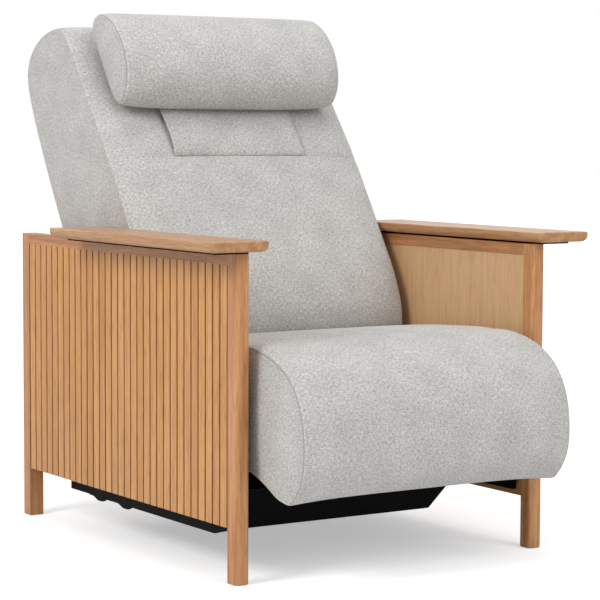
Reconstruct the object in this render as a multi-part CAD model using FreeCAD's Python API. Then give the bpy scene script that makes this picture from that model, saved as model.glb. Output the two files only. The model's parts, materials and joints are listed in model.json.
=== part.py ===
import FreeCAD, Part
import math
import os

# Wood-framed reclining massage chair, in millimetres.
# While it is modelled, Y = 0 is the front face of the front posts, X = 0 the middle plane
# and Z = 0 the floor. The chair faces -Y. On export the chair is moved along Y, so that the
# origin ends at the middle of its footprint. Left and right are as seen from the front.

# Wooden side frames
FRAME_WIDTH = 695.0
FRAME_DEPTH = 865.0
RAIL_TOP = 592.0
POST_WIDTH = 30.0
FRONT_POST_DEPTH = 30.0
REAR_POST_DEPTH = 30.0
POST_ROUND = 10.0
POST_EASE = 1.5
TOP_RAIL_HEIGHT = 21.5
PANEL_BOTTOM = 100.5
BOTTOM_RAIL_HEIGHT = 30.0
SLAT_COUNT = 31
SLAT_GROOVE = 4.0
SLAT_DEPTH = 6.0
SLAT_BACKING = 6.0
PANEL_REVEAL = 2.0

# Armrests
ARM_WIDTH = 120.0
ARM_LENGTH = 620.0
ARM_THICK = 19.5
ARM_OVER_OUTSIDE = 75.0
ARM_OVER_FRONT = 35.0
ARM_END_ROUND = 8.0
ARM_LOWER_ROUND = 13.0
ARM_EASE = 2.5
ARM_PLATE_THICK = 4.0
ARM_PLATE_INSET = 26.0
ARM_SCREW_RADIUS = 3.0
ARM_SCREW_HEAD = 5.5
ARM_SCREW_DEPTH = 12.0
ARM_SCREW_COUNT = 4

# Steel underframe
SPACER_LENGTH = 6.5
BASE_RAIL_WIDTH = 24.0
BASE_RAIL_BOTTOM = 70.0
BASE_RAIL_HEIGHT = 40.0
BASE_RAIL_FRONT = 300.0
BASE_RAIL_REAR = 726.0
TUBE_WALL = 2.5
SIDE_PLATE_THICK = 4.0
SIDE_PLATE_ROUND = 8.0
SIDE_PLATE_BOTTOM = 112.0
SIDE_PLATE_FRONT = 36.0
LOBE_PLACES = (483.0, 590.0)
LOBE_DROP = 6.5
LOBE_FLAT = 20.0
LOBE_FRONT = 44.0
LOBE_REAR = 50.0
LOBE_ROUND = 12.0
TAB_FRONT = 138.0
TAB_NOSE = 80.0
TAB_NOSE_BOTTOM = 85.0
BOLT_PLACES = (180.0, 380.0, 581.0)
BOLT_DROP = 7.5
CROSS_TUBE_RADIUS = 12.5
FRONT_CROSS_Y = 198.0
FRONT_CROSS_DEPTH = 30.0
FRONT_CROSS_BOTTOM = 60.0
FRONT_CROSS_HEIGHT = 72.0
TRAY_SIDE_GAP = 15.0
TRAY_SLOPE = 50.0
TRAY_RIM = 46.0
SHEET = 3.0
TRAY_REAR = 640.0
SPACER_RADIUS = 11.0
BOLT_RADIUS = 4.0
BOLT_HEAD_RADIUS = 7.0
BOLT_HEAD_HEIGHT = 5.0
BOLT_GRIP = 14.0
FIT_GAP = 0.05
SOFT_GAP = 0.3
EDGE_ROUND = 1.0

# Seat
SEAT_FRONT = 73.0
SEAT_REAR = 380.0
SEAT_PAN_TOP = 330.0
SEAT_PAN_THICK = 12.0
SEAT_PAN_FRONT = 92.0
SEAT_TOP_FRONT = 432.0
SEAT_TOP_REAR = 410.0
SEAT_ROUND = 14.0

# Soft parts
PAD_SIDE_GAP = 17.5
PAD_EDGE = 10.0
PAD_DRAW = 5.0
PAD_CROWN = 1.5

# Leg pad, hinged at the front of the seat
LEG_HINGE_Y = 68.0
LEG_HINGE_Z = 410.0
LEG_EAR_RADIUS = 10.0
LEG_PAD_REAR_TOP = 429.0
LEG_PAD_REAR = 63.7
LEG_PAD_NOSE = -146.0
LEG_PAD_TOP = 437.0
LEG_PAD_BREAK = 205.0
LEG_PAD_TIP_Y = -92.0
LEG_PAD_TIP_Z = 150.0
LEG_PAD_REAR_BOTTOM = 200.0
LEG_PAD_ROUND = 150.0
LEG_PAD_CHIN_ROUND = 60.0
LEG_BOARD_THICK = 4.0
LEG_BOARD_BOTTOM = 212.0
LEG_BOARD_TOP = 400.0
LEG_LIFT_ANGLE = 35.0

# Backrest, hinged behind the seat. Its own frame has Z up along the back and Y square to it.
BACK_HINGE_Y = 420.0
BACK_HINGE_Z = 345.0
BACK_LEAN = 33.0
BACK_RECLINE = 38.0
BACK_FRONT = 98.0
BACK_CREST = 65.0
BACK_LUMBAR = 104.0
BACK_LUMBAR_HEIGHT = 140.0
BACK_REAR = 170.0
BACK_TOP = 805.0
BACK_PAD_BOTTOM = 33.0
BACK_PAD_FOOT = 63.0
BACK_PAD_REAR = 45.0
BACK_FOAM_BOTTOM = 40.0
BACK_CAP_BOTTOM = 715.0
BACK_SIDE_THICK = 59.0
BACK_COVER_THICK = 20.0
BACK_SHOULDER = 600.0
BACK_TOP_ROUND = 70.0
BACK_CROWN_ROUND = 40.0
BACK_LUMBAR_ROUND = 80.0
BACK_SHOULDER_ROUND = 60.0
EAR_THICK = 4.0
EAR_GAP = 2.0
HINGE_RADIUS = 6.0
EAR_RADIUS = 20.0
HINGE_TUBE_RADIUS = 10.0
HINGE_TUBE_SET = 8.0
HINGE_STUB_SET = 11.0
UPRIGHT_FOOT = 14.0
PIN_HEAD_SWELL = 1.6

# Head pillow and the flap under it
PILLOW_LENGTH = 518.0
PILLOW_HEIGHT = 218.0
PILLOW_THICK = 102.0
PILLOW_BOTTOM = 520.0
PILLOW_ROUND = 50.0
PILLOW_REAR_ROUND = 35.0
FLAP_WIDTH = 310.0
FLAP_BOTTOM = 424.0
FLAP_THICK = 4.0

# Inner frame of the back and the massage carriage
UPRIGHT_THICK = 6.0
UPRIGHT_REAR = 110.0
CROSS_BAR = 20.0
GUIDE_X = 150.0
GUIDE_SIZE = 20.0
GUIDE_FRONT = 66.0
SCREW_INSET = 36.0
SCREW_RADIUS = 8.0
SHOE_WALL = 8.0
SHOE_LENGTH = 50.0
CARRIAGE_HEIGHT = 470.0
CARRIAGE_HALF = 45.0
CARRIAGE_THICK = 6.0
MOTOR_RADIUS = 28.0
MOTOR_END_GAP = 3.0
SHAFT_RADIUS = 6.0
SHAFT_DEPTH = 25.0
SHAFT_STUB = 12.0
LUG_GAP = 20.0
LUG_THICK = 8.0
ARM_X = 92.0
ARM_PLATE = 8.0
ARM_BOSS_RADIUS = 16.0
ARM_BAR = 20.0
ARM_BEND_UP = 44.0
ARM_BEND_REAR = 16.0
ARM_BEND_FRONT = 4.0
ARM_BEND_ROUND = 30.0
ARM_ELBOW_DOWN = 33.0
ARM_ELBOW_ROUND = 20.0
UPPER_ROLLER_RADIUS = 30.0
UPPER_ROLLER_WIDTH = 36.0
UPPER_ROLLER_UP = 110.0
UPPER_ROLLER_DEPTH = 5.0
LOWER_ROLLER_RADIUS = 38.0
LOWER_ROLLER_WIDTH = 42.0
LOWER_ROLLER_DOWN = 95.0
LOWER_ROLLER_DEPTH = 10.0
AXLE_RADIUS = 5.0
ROLLER_SIDE_GAP = 1.0
ROLLER_ROUND_SHARE = 0.3

# Drives
ACTUATOR_RADIUS = 20.0
ACTUATOR_ROD_RADIUS = 8.0
ACTUATOR_LENGTH = 190.0
GEARBOX_SWELL = 1.25
DRIVE_PIN_RADIUS = 5.0
LEVER_THICK = 8.0
LEVER_WIDTH = 34.0
LEVER_ROUND = 4.0
FORK_GAP = 1.0
FORK_EAR = 5.0
RECLINE_X = -70.0
RECLINE_ARM = 110.0
RECLINE_SLOT_PLAY = 1.0
LEG_X = 70.0
LEG_ARM = 178.0
LEG_LUG_BACK = 6.0
LEG_SLOT_PLAY = 1.5

# Electrics
BOX_SIZE = (150.0, 110.0, 46.0)
BOX_Y = 560.0
BOX_ROUND = 4.0
INLET_SIZE = (28.0, 10.0, 20.0)

INNER_X = FRAME_WIDTH / 2 - POST_WIDTH
RAIL_OUTER_X = INNER_X - SPACER_LENGTH - SIDE_PLATE_THICK
PAD_WIDTH = 2 * (INNER_X - PAD_SIDE_GAP)
BOLT_Z = PANEL_BOTTOM + BOTTOM_RAIL_HEIGHT - BOLT_DROP
SCREW_X = GUIDE_X - SCREW_INSET
ARM_INNER_X = ARM_X - ARM_PLATE / 2
MOTOR_LENGTH = 2 * (ARM_INNER_X - MOTOR_END_GAP)
SHAFT_LENGTH = 2 * (ARM_X + ARM_PLATE / 2 + SHAFT_STUB)
LUG_X = ARM_INNER_X - LUG_GAP
OUTER_X = FRAME_WIDTH / 2
SIDES = (("left", -1), ("right", 1))
X_AXIS = FreeCAD.Vector(1, 0, 0)
ORIGIN = FreeCAD.Vector(0, 0, 0)

parts = {}


def box(x0, x1, y0, y1, z0, z1):
    """A box between two corners, given in any order."""
    xs = sorted((x0, x1))
    ys = sorted((y0, y1))
    zs = sorted((z0, z1))
    corner = FreeCAD.Vector(xs[0], ys[0], zs[0])
    return Part.makeBox(xs[1] - xs[0], ys[1] - ys[0], zs[1] - zs[0], corner)


def rod(start, end, radius):
    """A round bar from one point to another."""
    a = FreeCAD.Vector(*start)
    b = FreeCAD.Vector(*end)
    return Part.makeCylinder(radius, (b - a).Length, a, b - a)


def across(x0, x1, y, z, radius):
    """A round bar along X."""
    return rod((min(x0, x1), y, z), (max(x0, x1), y, z), radius)


def rounded_wire(points, radii, x):
    """A closed outline in the plane of one X, its corners rounded by arcs."""
    edges = []
    count = len(points)
    ends = []
    for i in range(count):
        before = FreeCAD.Vector(x, *points[i - 1])
        corner = FreeCAD.Vector(x, *points[i])
        after = FreeCAD.Vector(x, *points[(i + 1) % count])
        to_before = (before - corner).normalize()
        to_after = (after - corner).normalize()
        half = to_before.getAngle(to_after) / 2
        reach = radii[i] / math.tan(half)
        middle = (to_before + to_after).normalize()
        start = corner + to_before * reach
        end = corner + to_after * reach
        top = corner + middle * (radii[i] / math.sin(half) - radii[i])
        ends.append((start, top, end))
    for i in range(count):
        start, top, end = ends[i]
        edges.append(Part.LineSegment(ends[i - 1][2], start).toShape())
        edges.append(Part.Arc(start, top, end).toShape())
    return Part.Wire(edges)


def inset(points, distance):
    """The outline with each of its lines moved inwards by one distance."""
    count = len(points)
    area = sum(points[i - 1][0] * points[i][1] - points[i][0] * points[i - 1][1] for i in range(count))
    turn = 1 if area > 0 else -1
    lines = []
    for i in range(count):
        (y0, z0), (y1, z1) = points[i], points[(i + 1) % count]
        length = math.hypot(y1 - y0, z1 - z0)
        ny, nz = -(z1 - z0) / length * turn, (y1 - y0) / length * turn
        lines.append((y0 + ny * distance, z0 + nz * distance, (y1 - y0) / length, (z1 - z0) / length))
    moved = []
    for i in range(count):
        ay, az, ady, adz = lines[i - 1]
        by, bz, bdy, bdz = lines[i]
        cross = ady * bdz - adz * bdy
        along = ((by - ay) * bdz - (bz - az) * bdy) / cross
        moved.append((ay + ady * along, az + adz * along))
    return moved


def cushion(points, radii, width, edge, draw, crown):
    """A cushion along X: full in the middle, a little lower near its ends, drawn in at them."""
    half = width / 2
    wires = []
    for x, drop in ((-half, draw), (edge - half, crown), (0.0, 0.0), (half - edge, crown), (half, draw)):
        rounds = [max(radius - drop, EDGE_ROUND) for radius in radii]
        wires.append(rounded_wire(inset(points, drop), rounds, x))
    return Part.makeLoft(wires, True, True)


def plate(points, radii, x0, x1):
    """A flat plate square to X with rounded corners."""
    wire = rounded_wire(points, radii, min(x0, x1))
    return Part.Face(wire).extrude(FreeCAD.Vector(abs(x1 - x0), 0, 0))


def fused(shapes):
    """Several overlapping or touching solids joined into one."""
    return shapes[0].multiFuse(shapes[1:]).removeSplitter()


def leaned(shape):
    """A shape of the backrest's own frame, set on its hinge and leaned back."""
    turned = shape.copy()
    turned.rotate(ORIGIN, X_AXIS, -BACK_LEAN)
    turned.translate(FreeCAD.Vector(0, BACK_HINGE_Y, BACK_HINGE_Z))
    return turned


def front_post(side):
    """Square post whose two front edges are rounded, standing on the floor."""
    post = box(side * INNER_X, side * OUTER_X, 0, FRONT_POST_DEPTH, 0, RAIL_TOP)
    front = [e for e in post.Edges if e.BoundBox.ZLength > RAIL_TOP / 2 and e.BoundBox.YMax < 1]
    post = post.makeFillet(POST_ROUND, front)
    foot = [e for e in post.Edges if e.BoundBox.ZMax < 1e-6]
    return post.makeChamfer(POST_EASE, foot)


def rear_post(side):
    """Square rear post with eased foot."""
    rear = FRAME_DEPTH - REAR_POST_DEPTH
    post = box(side * INNER_X, side * OUTER_X, rear, FRAME_DEPTH, 0, RAIL_TOP)
    foot = [e for e in post.Edges if e.BoundBox.ZMax < 1e-6]
    return post.makeChamfer(POST_EASE, foot)


def slat_board(side):
    """Outer board: upright slats with a groove beside each, on a thin backing, one comb section."""
    front = FRONT_POST_DEPTH
    rear = FRAME_DEPTH - REAR_POST_DEPTH
    pitch = (rear - front - SLAT_GROOVE) / SLAT_COUNT
    back = side * (OUTER_X - SLAT_DEPTH - SLAT_BACKING)
    root = side * (OUTER_X - SLAT_DEPTH)
    face = side * OUTER_X
    outline = [(back, front), (root, front)]
    for i in range(SLAT_COUNT):
        start = front + SLAT_GROOVE + i * pitch
        end = start + pitch - SLAT_GROOVE
        outline += [(root, start), (face, start), (face, end), (root, end)]
    outline += [(root, rear), (back, rear), (back, front)]
    wire = Part.makePolygon([FreeCAD.Vector(x, y, PANEL_BOTTOM) for x, y in outline])
    height = RAIL_TOP - TOP_RAIL_HEIGHT - PANEL_BOTTOM
    return Part.Face(wire).extrude(FreeCAD.Vector(0, 0, height))


def armrest(side):
    """Flat board, its lower edges rounded along both sides and both ends."""
    centre = side * (OUTER_X + ARM_OVER_OUTSIDE - ARM_WIDTH / 2)
    half = ARM_WIDTH / 2
    bottom = RAIL_TOP + ARM_PLATE_THICK
    top = bottom + ARM_THICK
    front = -ARM_OVER_FRONT
    rear = front + ARM_LENGTH
    section = [(-half, top), (half, top), (half, bottom), (-half, bottom)]
    board = plate(section, [ARM_EASE, ARM_EASE, ARM_LOWER_ROUND, ARM_LOWER_ROUND], 0, ARM_LENGTH)
    board.rotate(ORIGIN, FreeCAD.Vector(0, 0, 1), 90)
    board.translate(FreeCAD.Vector(centre, front, 0))
    profile = [(front, top), (rear, top), (rear, bottom), (front, bottom)]
    ends = [ARM_EASE, ARM_EASE, ARM_END_ROUND, ARM_END_ROUND]
    board = board.common(plate(profile, ends, centre - ARM_WIDTH, centre + ARM_WIDTH))
    for hole in arm_screws(side, ARM_SCREW_RADIUS):
        board = board.cut(hole)
    return board


def arm_plate_box(side):
    """Limits of the black plate between the rail and the armrest."""
    inner = side * (OUTER_X + ARM_OVER_OUTSIDE - ARM_WIDTH + ARM_PLATE_INSET)
    outer = side * (OUTER_X + ARM_OVER_OUTSIDE - ARM_PLATE_INSET)
    front = -ARM_OVER_FRONT + ARM_PLATE_INSET
    rear = -ARM_OVER_FRONT + ARM_LENGTH - ARM_PLATE_INSET
    return inner, outer, front, rear


def arm_screws(side, radius):
    """Shanks of the screws that hold the armrest on its plate, from below."""
    inner, outer, front, rear = arm_plate_box(side)
    x = (side * OUTER_X + outer) / 2
    step = (rear - front) / ARM_SCREW_COUNT
    shanks = []
    for i in range(ARM_SCREW_COUNT):
        y = front + step * (i + 0.5)
        tip = RAIL_TOP + ARM_PLATE_THICK + ARM_SCREW_DEPTH
        shanks.append(rod((x, y, RAIL_TOP), (x, y, tip), radius))
    return shanks


def armrest_plate(side):
    """Black steel plate under the armrest."""
    inner, outer, front, rear = arm_plate_box(side)
    body = box(inner, outer, front, rear, RAIL_TOP, RAIL_TOP + ARM_PLATE_THICK)
    for hole in arm_screws(side, ARM_SCREW_RADIUS):
        body = body.cut(hole)
    return body


def armrest_screws(side):
    """Four pan-head screws, each a separate solid."""
    screws = []
    for shank in arm_screws(side, ARM_SCREW_RADIUS):
        centre = shank.BoundBox.Center
        head = rod((centre.x, centre.y, RAIL_TOP - ARM_SCREW_RADIUS), (centre.x, centre.y, RAIL_TOP),
                   ARM_SCREW_HEAD)
        screws.append(shank.fuse(head))
    return screws


def wooden_side(name, side):
    """All the pieces of one wooden side frame."""
    front = FRONT_POST_DEPTH
    rear = FRAME_DEPTH - REAR_POST_DEPTH
    slat_back = OUTER_X - SLAT_DEPTH - SLAT_BACKING
    rail_low = RAIL_TOP - TOP_RAIL_HEIGHT
    panel_low = PANEL_BOTTOM + BOTTOM_RAIL_HEIGHT
    parts["front_post_" + name] = front_post(side)
    parts["rear_post_" + name] = rear_post(side)
    parts["top_rail_" + name] = box(side * INNER_X, side * OUTER_X, front, rear, rail_low, RAIL_TOP)
    lower = box(side * INNER_X, side * slat_back, front, rear, PANEL_BOTTOM, panel_low)
    for y in BOLT_PLACES:
        lower = lower.cut(across(side * INNER_X, side * (INNER_X + BOLT_GRIP), y, BOLT_Z, BOLT_RADIUS))
    parts["bottom_rail_" + name] = lower
    panel_face = side * (INNER_X + PANEL_REVEAL)
    parts["inner_panel_" + name] = box(panel_face, side * slat_back, front, rear, panel_low, rail_low)
    parts["slat_board_" + name] = slat_board(side)
    parts["armrest_" + name] = armrest(side)
    parts["armrest_plate_" + name] = armrest_plate(side)


def side_plate(side):
    """Steel plate that joins a base rail, the seat, both hinges and the wooden side.

    Two lobes hang below the rail. The left plate also has a low tab in front of them.
    """
    inner = side * RAIL_OUTER_X
    outer = side * (RAIL_OUTER_X + SIDE_PLATE_THICK)
    low = BASE_RAIL_BOTTOM
    rear = LOBE_PLACES[1] + LOBE_REAR
    web = PANEL_BOTTOM + BOTTOM_RAIL_HEIGHT + CROSS_TUBE_RADIUS
    outline = [
        (SIDE_PLATE_FRONT, SIDE_PLATE_BOTTOM), (BASE_RAIL_FRONT, SIDE_PLATE_BOTTOM),
        (BASE_RAIL_FRONT + SIDE_PLATE_BOTTOM - low, low), (rear, low), (rear, web),
        (BACK_HINGE_Y + EAR_RADIUS * 2, web), (BACK_HINGE_Y + EAR_RADIUS, BACK_HINGE_Z + EAR_RADIUS),
        (BACK_HINGE_Y - EAR_RADIUS, BACK_HINGE_Z + EAR_RADIUS),
        (SEAT_REAR - EAR_RADIUS * 2, SEAT_PAN_TOP), (SEAT_PAN_FRONT + EAR_RADIUS, SEAT_PAN_TOP),
        (LEG_HINGE_Y + LEG_EAR_RADIUS, LEG_HINGE_Z + LEG_EAR_RADIUS),
        (LEG_HINGE_Y - LEG_EAR_RADIUS, LEG_HINGE_Z + LEG_EAR_RADIUS),
        (LEG_HINGE_Y - LEG_EAR_RADIUS, SEAT_PAN_TOP - EAR_RADIUS), (SIDE_PLATE_FRONT, web),
    ]
    pieces = [plate(outline, [SIDE_PLATE_ROUND] * len(outline), inner, outer)]
    for y in LOBE_PLACES:
        lobe = [(y + LOBE_REAR, low + LOBE_DROP), (y + LOBE_FLAT / 2, low - LOBE_DROP),
                (y - LOBE_FLAT / 2, low - LOBE_DROP), (y - LOBE_FRONT, low + LOBE_DROP)]
        pieces.append(plate(lobe, [EDGE_ROUND, LOBE_ROUND, LOBE_ROUND, EDGE_ROUND], inner, outer))
    if side < 0:
        tab = [(TAB_NOSE, web), (TAB_NOSE, TAB_NOSE_BOTTOM), (TAB_FRONT, low),
               (LOBE_PLACES[0], low), (LOBE_PLACES[0], web)]
        pieces.append(plate(tab, [SIDE_PLATE_ROUND] * 5, inner, outer))
    body = fused(pieces)
    for y in BOLT_PLACES:
        body = body.cut(across(inner, outer, y, BOLT_Z, BOLT_RADIUS))
    for y, z in ((BACK_HINGE_Y, BACK_HINGE_Z), (LEG_HINGE_Y, LEG_HINGE_Z)):
        body = body.cut(across(inner, outer, y, z, HINGE_RADIUS))
    return body


def base_rail(side):
    """Rectangular tube along Y, open at both ends, its front end cut off on the slant."""
    inner = side * (RAIL_OUTER_X - BASE_RAIL_WIDTH)
    outer = side * RAIL_OUTER_X
    low = BASE_RAIL_BOTTOM
    high = low + BASE_RAIL_HEIGHT
    tube = box(inner, outer, BASE_RAIL_FRONT, BASE_RAIL_REAR, low, high)
    room = box(inner + side * TUBE_WALL, outer - side * TUBE_WALL, BASE_RAIL_FRONT, BASE_RAIL_REAR,
               low + TUBE_WALL, high - TUBE_WALL)
    corner = [FreeCAD.Vector(inner - side * SHEET, y, z) for y, z in (
        (BASE_RAIL_FRONT, high - TUBE_WALL), (BASE_RAIL_FRONT, low),
        (BASE_RAIL_FRONT + BASE_RAIL_HEIGHT - TUBE_WALL, low))]
    slant = Part.Face(Part.makePolygon(corner + corner[:1]))
    slant = slant.extrude(FreeCAD.Vector(side * (BASE_RAIL_WIDTH + 2 * SHEET), 0, 0))
    return tube.cut(room).cut(slant)


def trough(wall, front, rear, top):
    """Solid along Y with a flat bottom, sloping sides and upright tops, inset by one wall."""
    low = FRONT_CROSS_BOTTOM + wall
    wide = RAIL_OUTER_X - BASE_RAIL_WIDTH - TRAY_SIDE_GAP - wall
    foot = wide - TRAY_SLOPE
    side = FRONT_CROSS_BOTTOM + TRAY_RIM
    half = [(foot, low), (wide, side), (wide, top)]
    outline = half + [(-x, z) for x, z in reversed(half)] + half[:1]
    ring = Part.makePolygon([FreeCAD.Vector(x, front, z) for x, z in outline])
    return Part.Face(ring).extrude(FreeCAD.Vector(0, rear - front, 0))


def front_cross_member():
    """Folded black cross member under the seat front, its shoulders between the side plates."""
    front = FRONT_CROSS_Y
    rear = front + FRONT_CROSS_DEPTH
    high = FRONT_CROSS_BOTTOM + FRONT_CROSS_HEIGHT
    shoulders = box(-RAIL_OUTER_X, RAIL_OUTER_X, front, rear, SIDE_PLATE_BOTTOM, high)
    room = box(-RAIL_OUTER_X, RAIL_OUTER_X, front + SHEET, rear, SIDE_PLATE_BOTTOM + SHEET, high)
    body = fused([trough(0, front, rear, high), shoulders])
    return body.cut(room).cut(trough(SHEET, front + SHEET, rear, high))


def bottom_tray():
    """Black tray with sloping sides, hung by its rims between the base rails."""
    reach = RAIL_OUTER_X - BASE_RAIL_WIDTH
    front = FRONT_CROSS_Y + FRONT_CROSS_DEPTH
    rim = FRONT_CROSS_BOTTOM + TRAY_RIM
    rims = box(-reach, reach, front, TRAY_REAR, rim - SHEET, rim)
    tray = fused([trough(0, front, TRAY_REAR, rim), rims])
    return tray.cut(trough(SHEET, front + SHEET, TRAY_REAR - SHEET, rim + SHEET))


def base():
    """Rails, cross pieces, side plates, bolts, tray and electrics."""
    for name, side in SIDES:
        parts["base_rail_" + name] = base_rail(side)
        parts["side_plate_" + name] = side_plate(side)
    parts["front_cross_member"] = front_cross_member()
    parts["bottom_tray"] = bottom_tray()
    reach = RAIL_OUTER_X - BASE_RAIL_WIDTH
    rear = BASE_RAIL_REAR - 2 * CROSS_TUBE_RADIUS
    z = BASE_RAIL_BOTTOM + BASE_RAIL_HEIGHT / 2
    tubes = []
    for y, height, half in ((rear, z, reach), (LEG_TAIL[0], LEG_TAIL[1], RAIL_OUTER_X)):
        tube = across(-half, half, y, height, CROSS_TUBE_RADIUS)
        tubes.append(tube.cut(across(-half, half, y, height, CROSS_TUBE_RADIUS - TUBE_WALL)))
    parts["cross_tubes"] = Part.makeCompound(tubes)
    spacers = []
    bolts = []
    for name, side in SIDES:
        z = BOLT_Z
        plate_outer = RAIL_OUTER_X + SIDE_PLATE_THICK
        for y in BOLT_PLACES:
            ring = across(side * plate_outer, side * INNER_X, y, z, SPACER_RADIUS)
            spacers.append(ring.cut(across(side * plate_outer, side * INNER_X, y, z, BOLT_RADIUS)))
            shank = across(side * RAIL_OUTER_X, side * (INNER_X + BOLT_GRIP), y, z, BOLT_RADIUS)
            head = across(side * (RAIL_OUTER_X - BOLT_HEAD_HEIGHT), side * RAIL_OUTER_X, y, z,
                          BOLT_HEAD_RADIUS)
            bolts.append(shank.fuse(head))
    parts["frame_spacers"] = Part.makeCompound(spacers)
    parts["frame_bolts"] = Part.makeCompound(bolts)
    width, depth, height = BOX_SIZE
    floor = FRONT_CROSS_BOTTOM + SHEET
    unit = box(-width / 2, width / 2, BOX_Y - depth / 2, BOX_Y + depth / 2, floor, floor + height)
    unit = unit.makeFillet(BOX_ROUND, [e for e in unit.Edges if e.BoundBox.ZLength > height / 2])
    inlet_w, inlet_d, inlet_h = INLET_SIZE
    z0 = floor + (height - inlet_h) / 2
    rear = BOX_Y + depth / 2
    parts["control_box"] = unit
    inlet = box(-inlet_w / 2, inlet_w / 2, rear, rear + inlet_d, z0, z0 + inlet_h)
    mouth = box(-inlet_w / 2 + SHEET, inlet_w / 2 - SHEET, rear + SHEET, rear + inlet_d, z0 + SHEET,
                z0 + inlet_h - SHEET)
    parts["power_inlet"] = inlet.cut(mouth)


def recline_hanger():
    """Two cheeks under the seat pan and the short tube between them that holds a drive's tail."""
    y, z = RECLINE_TAIL
    inner = ACTUATOR_RADIUS * GEARBOX_SWELL + ROLLER_SIDE_GAP
    outer = inner + EAR_THICK
    top = SEAT_PAN_TOP - SEAT_PAN_THICK
    pieces = [across(RECLINE_X - outer, RECLINE_X + outer, y, z, CROSS_TUBE_RADIUS)]
    for name, side in SIDES:
        low = z - CROSS_TUBE_RADIUS
        pieces.append(box(RECLINE_X + side * inner, RECLINE_X + side * outer, y - EAR_RADIUS,
                          y + EAR_RADIUS, low, top))
    return fused(pieces)


def seat():
    """Steel seat pan with the hanger of the recline drive, and the seat cushion on it."""
    pan = box(-RAIL_OUTER_X, RAIL_OUTER_X, SEAT_PAN_FRONT, SEAT_REAR, SEAT_PAN_TOP - SEAT_PAN_THICK,
              SEAT_PAN_TOP)
    parts["seat_pan"] = fused([pan, recline_hanger()])
    low = SEAT_PAN_TOP + SOFT_GAP
    outline = [(SEAT_FRONT, low), (SEAT_REAR, low), (SEAT_REAR, SEAT_TOP_REAR),
               (SEAT_FRONT, SEAT_TOP_FRONT)]
    radii = [PAD_DRAW + 1, PAD_DRAW + 1, SEAT_ROUND, SEAT_ROUND]
    parts["seat_cushion"] = cushion(outline, radii, PAD_WIDTH, PAD_EDGE, PAD_DRAW, PAD_CROWN)


def ear(y, z, side, radius):
    """Ring of a moving hinge ear beside a cushion, and its bore."""
    outer = RAIL_OUTER_X - EAR_GAP
    ring = across(side * (outer - EAR_THICK), side * outer, y, z, radius)
    bore = across(side * (outer - EAR_THICK), side * outer, y, z, HINGE_RADIUS + FIT_GAP)
    return ring, bore


def leg_pad():
    """Leaf-shaped leg pad with a big round nose, tucked in below."""
    outline = [
        (LEG_PAD_REAR, LEG_PAD_REAR_TOP), (LEG_PAD_REAR - EAR_RADIUS, LEG_PAD_TOP),
        (LEG_PAD_NOSE, LEG_PAD_TOP), (LEG_PAD_NOSE, LEG_PAD_BREAK),
        (LEG_PAD_TIP_Y, LEG_PAD_TIP_Z), (LEG_PAD_REAR, LEG_PAD_REAR_BOTTOM),
    ]
    radii = [PAD_DRAW + 1, SEAT_ROUND, LEG_PAD_ROUND, LEG_PAD_CHIN_ROUND, SEAT_ROUND, PAD_DRAW + 1]
    return cushion(outline, radii, PAD_WIDTH, PAD_EDGE, PAD_DRAW, PAD_CROWN)


def legrest():
    """Leg pad on its steel board, with hinge ears and the slotted lug of its drive."""
    back = LEG_PAD_REAR + SOFT_GAP
    reach = RAIL_OUTER_X - EAR_GAP
    board = box(-reach, reach, back, back + LEG_BOARD_THICK, LEG_BOARD_BOTTOM, LEG_BOARD_TOP)
    pieces = [board]
    bores = []
    for name, side in SIDES:
        ring, bore = ear(LEG_HINGE_Y, LEG_HINGE_Z, side, LEG_EAR_RADIUS)
        strap = box(side * (reach - EAR_THICK), side * reach, back, LEG_HINGE_Y + LEG_EAR_RADIUS,
                    LEG_BOARD_TOP - 2 * EAR_RADIUS, LEG_HINGE_Z)
        pieces += [ring, strap]
        bores.append(bore)
    lug, slot = lever((LEG_HINGE_Y, LEG_HINGE_Z), LEG_REST_ANGLE, LEG_ARM, LEG_LIFT_ANGLE, LEG_X,
                      LEG_SLOT_PLAY)
    lug_top = SEAT_PAN_TOP - SEAT_PAN_THICK - LEVER_THICK
    pieces.append(lug.common(box(LEG_X - LEVER_THICK, LEG_X + LEVER_THICK, back + LEG_BOARD_THICK,
                                 back + 4 * LEVER_WIDTH, 0, lug_top)))
    body = fused(pieces)
    for cut in bores + [slot]:
        body = body.cut(cut)
    parts["legrest_board"] = body
    parts["leg_pad"] = leg_pad()


def lever(hinge, rest_angle, arm, travel, x, play):
    """A lever plate from a hinge and its slot. Angles are from straight down, towards the rear."""
    half = math.radians(travel / 2)
    far = arm / math.cos(half)
    end = far + LEVER_WIDTH / 2
    angle = math.radians(rest_angle)
    direction = (math.sin(angle), -math.cos(angle))
    normal = (direction[1], -direction[0])
    width = LEVER_WIDTH / 2

    def point(along, aside):
        return (hinge[0] + direction[0] * along + normal[0] * aside,
                hinge[1] + direction[1] * along + normal[1] * aside)

    outline = [point(0, -width), point(end, -width), point(end, width), point(0, width)]
    body = plate(outline, [LEVER_ROUND] * 4, x - LEVER_THICK / 2, x + LEVER_THICK / 2)
    pin = DRIVE_PIN_RADIUS + play
    slot_ends = [point(arm - play, 0), point(far + play, 0)]
    edge = [point(arm - play, -pin), point(far + play, -pin),
            point(far + play, pin), point(arm - play, pin)]
    slot = plate(edge, [EDGE_ROUND / 2] * 4, x - LEVER_THICK, x + LEVER_THICK)
    rounds = [across(x - LEVER_THICK, x + LEVER_THICK, y, z, pin) for y, z in slot_ends]
    return body, fused([slot] + rounds)


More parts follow.
